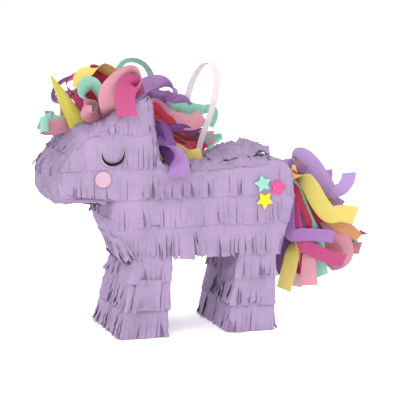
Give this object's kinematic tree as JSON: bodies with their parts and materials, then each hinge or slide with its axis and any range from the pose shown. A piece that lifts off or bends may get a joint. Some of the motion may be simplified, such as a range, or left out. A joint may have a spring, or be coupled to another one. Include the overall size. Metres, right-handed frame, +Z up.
{
  "type": "pinata",
  "caption": "Small party pinata shaped as a standing unicorn: card shell covered in fringed tissue, paper-strip mane and tail, fill flap in the back and a ribbon loop to hang it by.",
  "frame": {"origin": "on the floor under the middle of the object's box", "axes": "+Z up, +X from the muzzle to the tail, so the animal looks towards -X and its left flank faces -Y"},
  "size_m": [0.257, 0.0746, 0.1933],
  "materials": {
    "card": "matte grey-brown card",
    "tissue": "matte crepe tissue, lavender",
    "horn_paper": "satin yellow-green paper",
    "eye_sticker": "satin black print with a white edge",
    "cheek_sticker": "matte pale pink",
    "star_mint_sticker": "matte mint",
    "star_pink_sticker": "matte pink",
    "star_yellow_sticker": "matte yellow",
    "mane_paper": "satin two-tone paper strips in mixed colours",
    "tail_paper": "satin two-tone paper strips in mixed colours",
    "ribbon": "translucent white ribbon"
  },
  "bodies": {
    "shell": {"back_band": "card", "belly_band": "card", "cheek_left": "cheek_sticker", "cheek_right": "cheek_sticker", "chest_band": "card", "crown_band": "card", "eye_left": "eye_sticker", "eye_right": "eye_sticker", "forehead_band": "card", "fringe_belly_left": "tissue", "fringe_belly_right": "tissue", "fringe_brow_left": "tissue", "fringe_brow_right": "tissue", "fringe_cheek_left": "tissue", "fringe_cheek_right": "tissue", "fringe_chest_lower": "tissue", "fringe_chest_upper": "tissue", "fringe_ear_left": "tissue", "fringe_ear_right": "tissue", "fringe_flank_left": "tissue", "fringe_flank_right": "tissue", "fringe_leg_front_left": "tissue", "fringe_leg_front_right": "tissue", "fringe_leg_rear_left": "tissue", "fringe_leg_rear_right": "tissue", "hanger_knot": "ribbon", "hanger_patch": "card", "hanging_ribbon": "ribbon", "horn": "horn_paper", "jaw_band": "card", "leg_front_left": "card", "leg_front_right": "card", "leg_rear_left": "card", "leg_rear_right": "card", "mane_crown": "mane_paper", "mane_forelock": "mane_paper", "mane_neck": "mane_paper", "muzzle_band": "card", "nape_band": "card", "rump_band": "card", "side_panel_left": "card", "side_panel_right": "card", "sole_front_left": "card", "sole_front_right": "card", "sole_rear_left": "card", "sole_rear_right": "card", "star_mint": "star_mint_sticker", "star_pink": "star_pink_sticker", "star_yellow": "star_yellow_sticker", "tissue_back": "tissue", "tissue_crown": "tissue", "tissue_forehead": "tissue", "tissue_muzzle": "tissue", "tissue_nape": "tissue", "tissue_rump": "tissue"},
    "flap": {"fill_flap": "card", "tissue_flap": "tissue"},
    "tail": {"tail_binding": "tail_paper", "tail_streamers_lower": "tail_paper", "tail_streamers_upper": "tail_paper"}
  },
  "joints": [
    {"name": "flap_hinge", "type": "hinge", "parent": "shell", "child": "flap", "pos_m": [-0.00096, 0, 0.12022], "axis": [0, -1, 0], "range_deg": [-5.5, 55]},
    {"name": "tail_swing", "type": "hinge", "parent": "shell", "child": "tail", "pos_m": [0.05534, 0, 0.114], "axis": [0, -1, 0], "range_deg": [0, 25], "stiffness_Nm_per_rad": 0.01}
  ]
}
